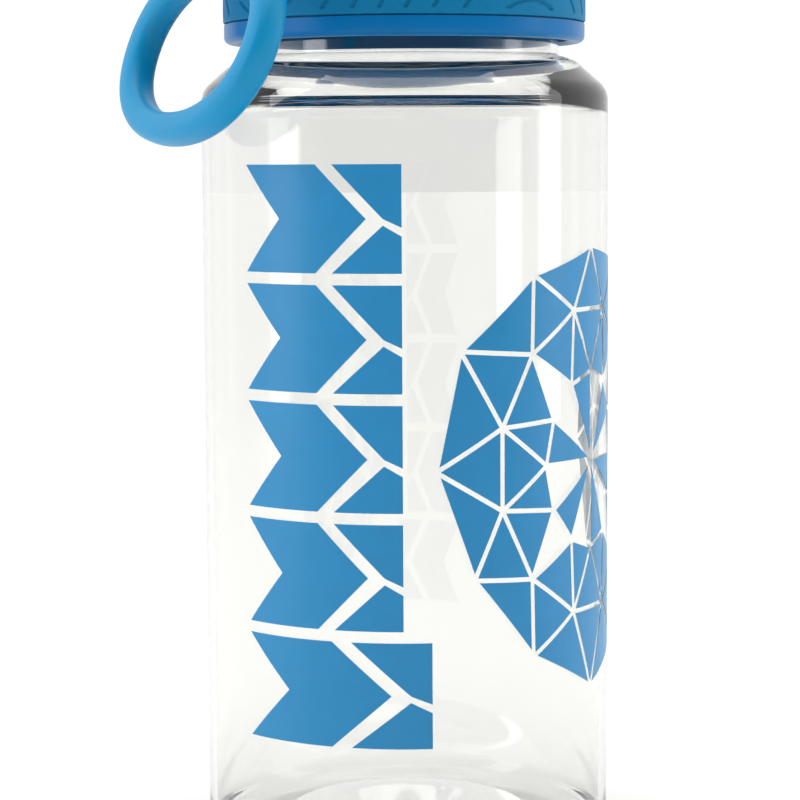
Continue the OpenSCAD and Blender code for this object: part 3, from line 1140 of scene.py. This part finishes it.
@dataclass(frozen=True)
class DeckCover:
    """The lid's upper shell, with the hinge ears and the openings for the button and the catch."""

    lid: LidSizes
    palette: Palette
    crown_r: float = 3.5
    wall: float = 2.0

    def build(self) -> None:
        """Makes and dresses the shell and its ears."""
        s = self.lid
        out = s.lid_r - 0.1
        outline = [(out - self.wall, s.band_top_z), (out - 0.25, s.band_top_z)]
        outline += [(out, s.band_top_z + 0.25)]
        outline += arc(out - self.crown_r, s.crown_z - self.crown_r, self.crown_r, 0, 90, 16)
        # A shallow dish round the spout, where drips collect
        outline += [(20.5, s.crown_z), (20.0, s.crown_z - 0.08)]
        outline += [(19.6, s.crown_z - 0.4), (13.6, s.crown_z - 0.4)]
        outline += arc(12.2, s.crown_z - 0.1, 0.5, -30, 120, 6)
        outline += [(11.0, s.crown_z + 0.1), (11.0, s.deck_top_z + 2.1), (13.0, s.deck_top_z + 2.1)]
        outline += [(13.0, s.crown_z - 2), (s.spigot_r - 1.6, s.crown_z - 2)]
        outline += [(s.spigot_r - 1.6, s.band_top_z - 2), (s.spigot_r, s.band_top_z - 2)]
        outline += [(s.spigot_r, s.band_top_z)]
        shell = turned("deck_shell", dense(outline, 5.0), 240)
        tools = [
            block((-4.6, 16.9, s.crown_z - 5), (4.6, 22.3, s.crown_z + 5)),
            s.button_way(20, s.band_top_z - 5, s.button_top_z + s.gap),
        ]
        cut(shell, [s.turn(tool) for tool in tools])
        shell.name = "lid_crown"
        dress(smooth(shell, 40), Body.LID, [self.palette.lid], "deck_cover")
        for side, name in ((1, "hinge_ear_right"), (-1, "hinge_ear_left")):
            x0, x1 = sorted((side * 7.0, side * 9.5))
            eye = rod("X", (0, s.hinge_y, s.hinge_z), s.knuckle_r, x0, x1)
            low, high = s.hinge_y - s.knuckle_r, s.hinge_y + s.knuckle_r
            foot = block((x0, low, s.crown_z - 1.5), (x1, high, s.hinge_z))
            ear = fused(name, [eye, foot], 0.16, 5)
            cut(ear, [rod("X", (0, s.hinge_y, s.hinge_z), 1.1, -20, 20)])
            s.turn(ear)
            dress(smooth(ear, 50), Body.LID, [self.palette.lid], "deck_cover")


@dataclass(frozen=True)
class Spout:
    """The soft mouthpiece on the lid's axis."""

    lid: LidSizes
    palette: Palette
    bore_r: float = 5.5

    def build(self) -> None:
        """Makes and dresses the spout."""
        s = self.lid
        outline = [(self.bore_r, s.deck_top_z), (12.8, s.deck_top_z), (12.8, s.deck_top_z + 2)]
        outline += [(10.8, s.deck_top_z + 2), (10.8, s.crown_z + 0.3)]
        outline += arc(10.3, s.crown_z + 0.5, 0.5, 0, 80, 5)
        outline += [(9.9, s.crown_z + 2.2), (9.2, s.crown_z + 5.5), (8.75, s.spout_top_z - 3.2)]
        outline += [(8.6, s.spout_top_z - 2.2), (8.62, s.spout_top_z - 1.6)]
        outline += arc(8.6 - 1.2, s.spout_top_z - 1.2, 1.2, 0, 90, 8)
        outline += arc(self.bore_r + 0.6, s.spout_top_z - 0.6, 0.6, 90, 180, 6)
        spout = turned("silicone_spout", dense(outline, 2.0), 144)
        dress(smooth(spout, 45), Body.LID, [self.palette.spout], "mouth_spout")


@dataclass(frozen=True)
class SpoutCover:
    """The flip-up cover: a dome over the spout, an arm to the hinge and a nose for the thumb."""

    lid: LidSizes
    palette: Palette
    dome_r: float = 15.2
    wall: float = 1.8
    pad_ring_r: float = 10.8
    arm_half_w: float = 6.7
    tongue_half_w: float = 4.0
    spring_half_w: float = 3.2
    pin_bore_r: float = 1.15

    def dome(self) -> bpy.types.Object:
        """Makes the turned dome with its inner ring for the sealing pad."""
        s = self.lid
        inner = self.dome_r - self.wall
        low = s.crown_z + s.gap
        outline = [(inner, low), (self.dome_r, low), (self.dome_r, s.dome_top_z - 6)]
        for a in (math.radians(degrees) for degrees in range(6, 91, 6)):
            outline.append((self.dome_r - 7 + 7 * math.cos(a), s.dome_top_z - 6 + 5.2 * math.sin(a)))
        outline += [(0.0, s.dome_top_z), (0.0, s.roof_z), (self.pad_ring_r - 1.3, s.roof_z)]
        outline += [(self.pad_ring_r - 1.3, s.roof_z - 2.2), (self.pad_ring_r, s.roof_z - 2.2)]
        outline += [(self.pad_ring_r, s.roof_z), (inner - 1.5, s.roof_z), (inner, s.roof_z - 1.5)]
        return turned("dome", dense(outline, 3.0), 160)

    def build(self) -> None:
        """Makes and dresses the cover."""
        s = self.lid
        arm, tongue, spring = self.arm_half_w, self.tongue_half_w, self.spring_half_w
        inner = self.dome_r - self.wall
        # Dome, hinge barrel, arm, the nose and its round tip, and the catch tongue with its hook
        solids = [
            self.dome(),
            rod("X", (0, s.hinge_y, s.hinge_z), s.knuckle_r, -arm, arm),
            block((-arm, s.hinge_y, s.hinge_z - 2.4), (arm, -inner + 0.2, s.hinge_z + s.knuckle_r)),
            block((-6.5, inner, s.crown_z + 1.2), (6.5, 22.0, s.crown_z + 6.8), 1.3),
            block((-5.4, 20.0, s.crown_z + 1.2), (5.4, 23.5, s.crown_z + 6.8), 1.4),
            block((-tongue, 18.2, s.deck_top_z + 1.6), (tongue, 19.8, s.crown_z + 2.0)),
            block((-tongue, 17.2, s.deck_top_z + 1.6), (tongue, 18.7, s.deck_top_z + 2.7)),
        ]
        cover = fused("cover", solids, 0.3, 4)
        pocket = block((-spring, s.hinge_y - 4, s.hinge_z - 4), (spring, s.hinge_y + 6, s.hinge_z + 2.4))
        bore = rod("X", (0, s.hinge_y, s.hinge_z), self.pin_bore_r, -20, 20)
        cut(cover, [pocket, bore])
        s.turn(cover)
        cover.name = "flip_cover"
        dress(smooth(cover, 50), Body.COVER, [self.palette.lid], "spout_cover")


@dataclass(frozen=True)
class ReleaseButton:
    """The push button in the lid's side, with ribs for the thumb and the bar behind the catch."""

    lid: LidSizes
    palette: Palette
    bar_y: float = 14.9
    bar_end_y: float = 16.9

    def build(self) -> None:
        """Makes and dresses the button."""
        s = self.lid
        low, high, half = s.button_z, s.button_top_z, s.button_half_w
        pad = block((-half, 28.0, low), (half, 38.0, high), 0.8)
        face_r = s.lid_r + 0.15
        ring = [(20.0, low - 3), (face_r, low - 3), (face_r, high + 3), (20.0, high + 3)]
        cut(pad, [turned("rim", ring, 240)], "INTERSECT")
        arm_z = low + 2.2
        solids = [pad]
        for side in (-1, 1):
            x0, x1 = sorted((side * 5.0, side * half))
            solids.append(block((x0, self.bar_y, arm_z), (x1, 28.6, arm_z + 2.8)))
        solids.append(block((-half, self.bar_y, arm_z), (half, self.bar_end_y, arm_z + 1.2)))
        for k in (-1, 0, 1):
            z = (low + high) / 2 + 1.7 * k
            rib_half = half - 2.6 - 0.5 * abs(k)
            root, crest = s.lid_r - 0.8, s.lid_r + 0.4
            rib = turned("rib", [(root, z - 0.42), (crest, z - 0.3), (crest, z + 0.3), (root, z + 0.42)], 240)
            cut(rib, [block((-rib_half, 28, z - 1), (rib_half, 40, z + 1))], "INTERSECT")
            solids.append(rib)
        button = fused("button", solids, 0.2, 3)
        cut(button, [rod("Y", (0, 0, low + 3.6), 3.1, 20, 31.5)])
        s.turn(button)
        button.name = "push_button_pad"
        dress(smooth(button, 50), Body.BUTTON, [self.palette.loop], "push_button")


@dataclass(frozen=True)
class CarryLoop:
    """The carry loop: a rounded-square strand bent to an oval, open where the lug stands between its eyes."""

    lid: LidSizes
    palette: Palette
    half_w: float = 23.0
    half_h: float = 15.5
    strand_r: float = 3.0
    lean: float = math.radians(20.1)
    oval_power: float = 0.93
    section_power: float = 2.7
    gap_half: float = 6.3
    eye_r: float = 3.2
    eye_end: float = 10.5
    pin_bore_r: float = 1.55

    def build(self) -> None:
        """Makes and dresses the loop."""
        s = self.lid
        turn = np.radians(np.linspace(101, 439, 220))
        c, d = np.cos(turn), np.sin(turn)
        route = np.stack(
            [
                np.zeros_like(c),
                self.half_w * np.sign(c) * np.abs(c) ** self.oval_power,
                self.half_h * (np.sign(d) * np.abs(d) ** self.oval_power - 1),
            ],
            -1,
        )
        # The section is a little slimmer than the round strand, because its corners stand out further
        half = self.strand_r - 0.12
        section = squircle(half, half, self.section_power, 48)
        loop = swept("strand", route, section, (1, 0, 0))
        eyes = [
            rod("Y", (0, 0, 0), self.eye_r, *sorted((side * self.gap_half, side * self.eye_end)))
            for side in (-1, 1)
        ]
        cut(loop, [block((-8, -self.gap_half, -6), (8, self.gap_half, 8))])
        cut(loop, eyes, "UNION")
        cut(loop, [rod("Y", (0, 0, 0), self.pin_bore_r, -self.eye_end + 0.7, self.eye_end - 0.7)])
        loop.data.transform(Matrix.Rotation(-self.lean, 4, "Y"))
        loop.data.transform(Matrix.Translation(Vector((s.pivot_x, 0, s.pivot_z)) * MM))
        s.turn(loop)
        loop.name = "loop_strand"
        dress(smooth(loop, 45), Body.LOOP, [self.palette.loop], "carry_loop")


class SmallParts:
    """Pins, springs and seals whose CAD shape is already right, and only need their finish."""

    def __init__(self, palette: Palette) -> None:
        """Pairs each CAD node with its finish."""
        self.finishes = {
            "rim_gasket": palette.seal,
            "vent_valve": palette.seal,
            "cover_pad": palette.seal,
            "hinge_pin": palette.pin,
            "loop_pin": palette.pin,
            "cover_spring": palette.wire,
            "button_spring": palette.wire,
        }

    def build(self) -> None:
        """Gives each node its finish."""
        for name, material in self.finishes.items():
            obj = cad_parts[name]
            obj.data.materials.clear()
            obj.data.materials.append(material)
            LOG.info("%-20s keeps its CAD shape", name)


# ---------------------------------------------------------------- the studio


@dataclass(frozen=True)
class Studio:
    """Pale floor, soft light and the camera."""

    camera_at: tuple[float, float, float] = (-1.13, -458.4, 130.0)
    pitch: float = -5.61
    roll: float = -0.293
    lens: float = 110.84

    def floor(self) -> None:
        """Lays the pale matt floor."""
        a = np.linspace(0, 2 * np.pi, 96, endpoint=False)
        radii = (0.0, 300.0, 900.0, 2500.0, 9000.0)
        points = np.array([[(r * math.cos(t), r * math.sin(t), 0.0) for t in a] for r in radii])
        floor = grid_object("floor", points, close_rows=False)
        paint = Finish("pale_matt_paint", "#f4f4f3", 0.9, extra={"Specular IOR Level": 0.1})
        floor.data.materials.append(paint.build())

    def light(self) -> None:
        """Sets the white surround behind, the dim side behind the camera, and the soft lamps."""
        world = bpy.data.worlds.new("white_surround")
        bpy.context.scene.world = world
        world.use_nodes = True
        tree = world.node_tree
        tree.nodes.clear()
        where = add_node(tree, "ShaderNodeTexCoord").outputs["Generated"]
        split = add_node(tree, "ShaderNodeSeparateXYZ", links={"Vector": where})
        level = add_node(
            tree,
            "ShaderNodeMapRange",
            {
                "From Min": -0.75,
                "From Max": 0.15,
                "To Min": 0.13,
                "To Max": 1.05,
                "interpolation_type": "SMOOTHSTEP",
            },
            {"Value": split.outputs["Y"]},
        )
        back = add_node(
            tree, "ShaderNodeBackground", {"Color": (1, 1, 1, 1)}, {"Strength": level.outputs["Result"]}
        )
        add_node(tree, "ShaderNodeOutputWorld", links={"Surface": back.outputs["Background"]})
        sun = bpy.data.lights.new("overhead_diffuser", "SUN")
        sun.energy = 1.4
        sun.angle = math.radians(70)
        hung = bpy.data.objects.new("overhead_diffuser", sun)
        bpy.context.scene.collection.objects.link(hung)
        hung.matrix_world = Matrix.Rotation(math.radians(8), 4, "X")
        self.softbox("left_softbox", (-680, -260, 330), (260, 620), 1.3)
        self.softbox("right_softbox", (700, -40, 300), (220, 620), 0.7)

    def softbox(
        self, name: str, at: tuple[float, float, float], size: tuple[float, float], power: float
    ) -> None:
        """Hangs a rectangular softbox that faces the bottle.

        Args:
            name: its name.
            at: its centre in millimetres.
            size: its width and height in millimetres.
            power: its power in watts.
        """
        lamp = bpy.data.lights.new(name, "AREA")
        lamp.shape = "RECTANGLE"
        lamp.size, lamp.size_y = size[0] * MM, size[1] * MM
        lamp.energy = power
        obj = bpy.data.objects.new(name, lamp)
        bpy.context.scene.collection.objects.link(obj)
        place = Vector(at) * MM
        aim = Vector((0, 0, 100)) * MM - place
        obj.matrix_world = Matrix.Translation(place) @ aim.to_track_quat("-Z", "Y").to_matrix().to_4x4()

    def camera(self) -> None:
        """Places the camera."""
        lens = bpy.data.cameras.new("camera")
        lens.lens = self.lens
        lens.sensor_width = 36.0
        lens.clip_start = 0.01
        obj = bpy.data.objects.new("camera", lens)
        bpy.context.scene.collection.objects.link(obj)
        aim = Matrix.Rotation(math.radians(90 + self.pitch), 4, "X")
        tilt = Matrix.Rotation(math.radians(self.roll), 4, "Z")
        obj.matrix_world = Matrix.Translation(Vector(self.camera_at) * MM) @ aim @ tilt
        bpy.context.scene.camera = obj

    def build(self) -> None:
        """Sets up the whole studio."""
        self.camera()
        self.floor()
        self.light()
        bpy.context.scene.view_settings.view_transform = "Standard"


def main() -> None:
    """Builds the studio and every piece, in order."""
    logging.basicConfig(level=logging.INFO, format="%(message)s")
    Studio().build()
    palette = Palette()
    lid = LidSizes()
    BottleBody(lid, palette).build()
    PrintedPattern(palette).build()
    CapShell(lid, palette).build()
    GripBand(lid, palette).build()
    DeckCover(lid, palette).build()
    Spout(lid, palette).build()
    SpoutCover(lid, palette).build()
    ReleaseButton(lid, palette).build()
    CarryLoop(lid, palette).build()
    SmallParts(palette).build()


if __name__ == "__main__":
    main()
